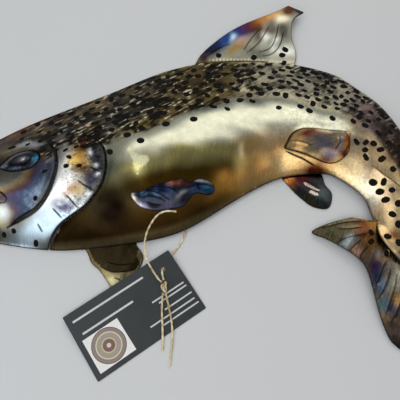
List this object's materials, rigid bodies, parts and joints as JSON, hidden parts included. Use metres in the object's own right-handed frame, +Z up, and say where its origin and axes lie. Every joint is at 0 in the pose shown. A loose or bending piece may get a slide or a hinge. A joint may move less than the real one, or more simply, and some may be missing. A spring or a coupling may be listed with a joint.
{
  "type": "heat-coloured sheet steel trout sculpture in relief, with a tag on twine",
  "caption": "Wall trout cut from sheet steel and domed in relief, heat-coloured bronze, purple and blue, lying on its rim with a plain dark tag card on a twine loop.",
  "frame": {"origin": "middle of the fish's footprint, on the surface that its rim lies on", "axes": "+X towards the tail side, +Y towards the back and dorsal fin, +Z up from the table, out of the relief"},
  "size_m": [0.3888, 0.342, 0.0275],
  "materials": {
    "back_steel": "mild steel, ground and heat-coloured dark bronze, clear-coated",
    "flank_steel": "mild steel, brushed pale straw and gold on the flank, darker at the edges, clear-coated",
    "cheek_steel": "mild steel, brushed, heat-coloured straw, purple and blue, clear-coated",
    "eye_steel": "mild steel, heated to a dark teal blue",
    "fin_steel": "mild steel, heat-coloured gold, purple and blue towards the edges",
    "tag_card": "stiff uncoated charcoal card with plain printed rules and a small round picture",
    "twine": "natural two-ply hemp twine"
  },
  "bodies": {
    "root": {"head_top": "back_steel", "upper_jaw": "cheek_steel", "lower_jaw": "cheek_steel", "cheek_plate": "cheek_steel", "gill_cover": "cheek_steel", "eye": "eye_steel", "trunk_front": "flank_steel", "trunk_middle": "flank_steel", "trunk_rear": "flank_steel", "tail_stem": "flank_steel", "dorsal_fin": "fin_steel", "adipose_fin": "fin_steel", "tail_fin_upper_lobe": "fin_steel", "tail_fin_lower_lobe": "fin_steel", "near_pectoral_fin": "fin_steel", "near_pelvic_fin": "fin_steel", "far_pectoral_fin": "fin_steel", "far_pelvic_fin": "fin_steel", "tag_card": "tag_card", "twine_over_flank": "twine", "twine_under_belly": "twine", "twine_short_end": "twine", "twine_long_end": "twine", "twine_knot": "twine"}
  },
  "joints": []
}
